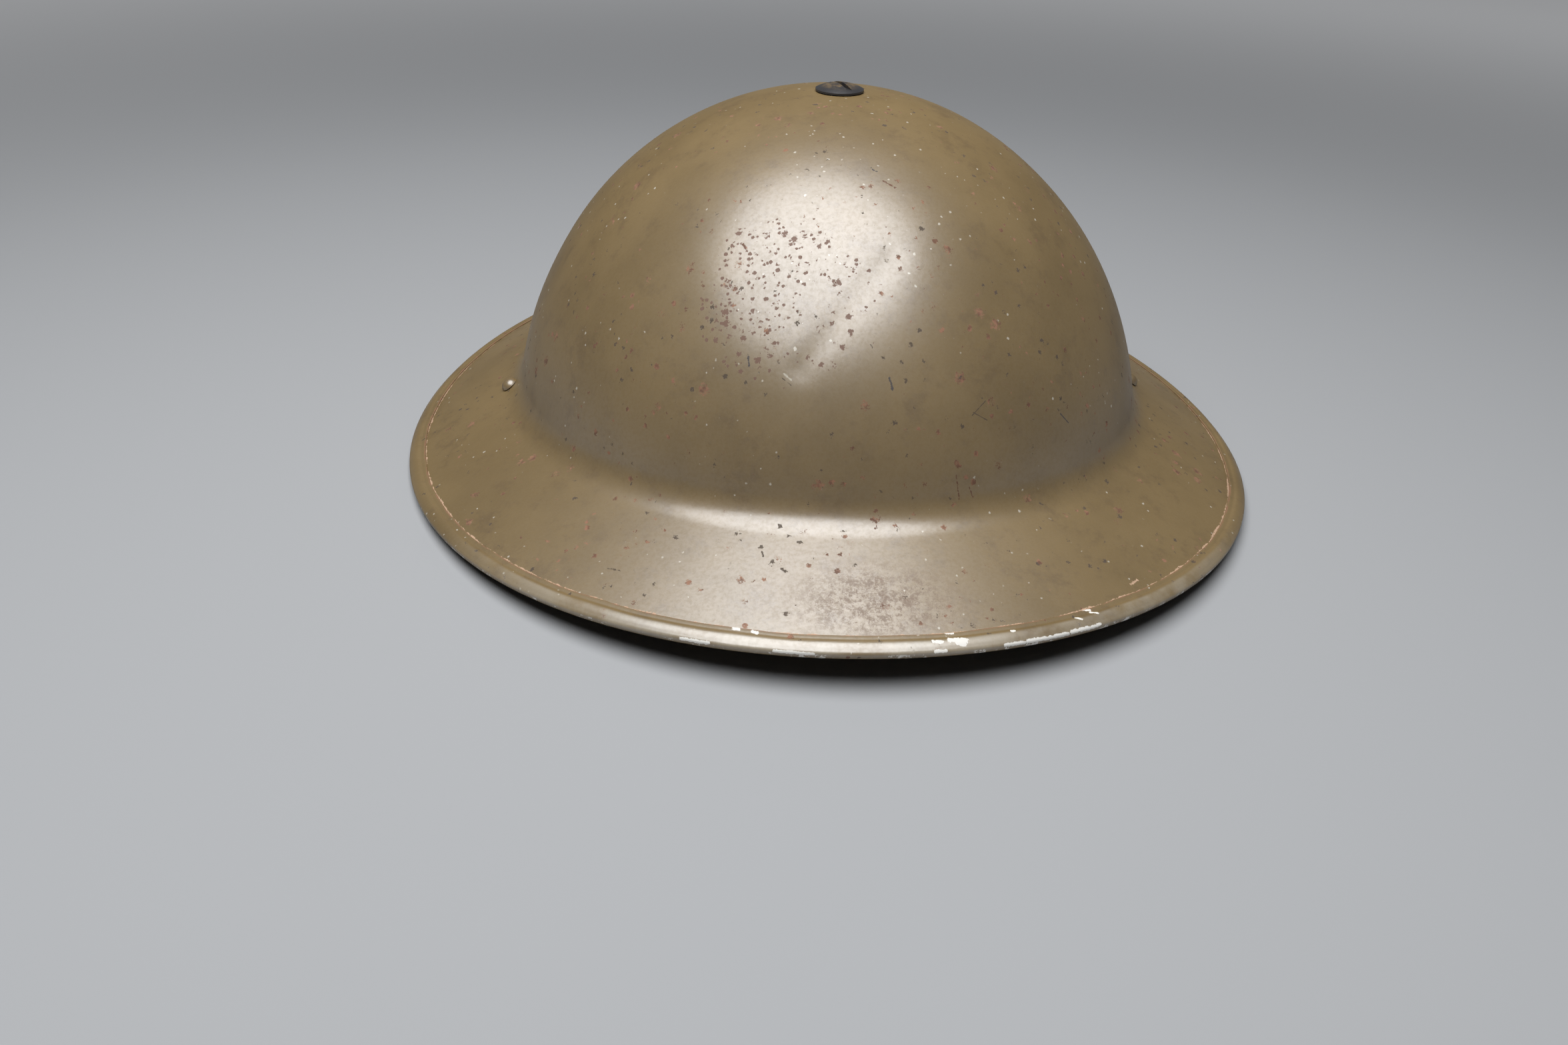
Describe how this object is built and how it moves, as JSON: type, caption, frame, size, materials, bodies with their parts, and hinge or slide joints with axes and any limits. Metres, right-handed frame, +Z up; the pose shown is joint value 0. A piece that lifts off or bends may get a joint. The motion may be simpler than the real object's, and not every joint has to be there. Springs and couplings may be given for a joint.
{
  "type": "wide-brim steel helmet",
  "caption": "Steel helmet with a round bowl, a wide flared brim with a folded rim strip, a slotted crown screw, a padded fibre liner and a chin strap that swings on side lugs.",
  "frame": {"origin": "bottom centre of the bounding box, on the surface that the brim rests on", "axes": "-Y the helmet's front, +X its left side as worn, +Z up through the crown"},
  "size_m": [0.29, 0.312, 0.1227],
  "materials": {
    "olive_paint": "satin, worn",
    "bare_steel": "dull plated",
    "blackened": "blackened",
    "fibre": "pressed fibre board",
    "oilcloth": "waxed cloth",
    "rubber": "matt",
    "leather": "undyed",
    "webbing": "woven cotton",
    "brass": "dull"
  },
  "bodies": {
    "helmet": {"shell": "olive_paint", "rim_band": "olive_paint", "crown_screw": "blackened", "crown_spacer": "leather", "crown_washer": "bare_steel", "crown_nut": "bare_steel", "cradle_strap_side": "fibre", "cradle_strap_long": "fibre", "cradle_rivets": "brass", "liner_band": "fibre", "headband": "oilcloth", "crown_pad": "oilcloth", "rubber_buffers": "rubber", "buffer_rivets": "brass", "lug_left": "bare_steel", "lug_right": "bare_steel", "lug_pin_left": "bare_steel", "lug_pin_right": "bare_steel", "lug_rivet_left": "olive_paint", "lug_rivet_right": "olive_paint"},
    "chin_strap_set": {"strap_ring_left": "bare_steel", "strap_ring_right": "bare_steel", "chin_strap": "webbing", "strap_slide": "brass", "strap_tip": "brass"}
  },
  "joints": [
    {"name": "chin_strap_swing", "type": "hinge", "parent": "helmet", "child": "chin_strap_set", "pos_m": [0, -0.00058, 0.014], "axis": [1, 0, 0], "range_deg": [0, 172]}
  ]
}
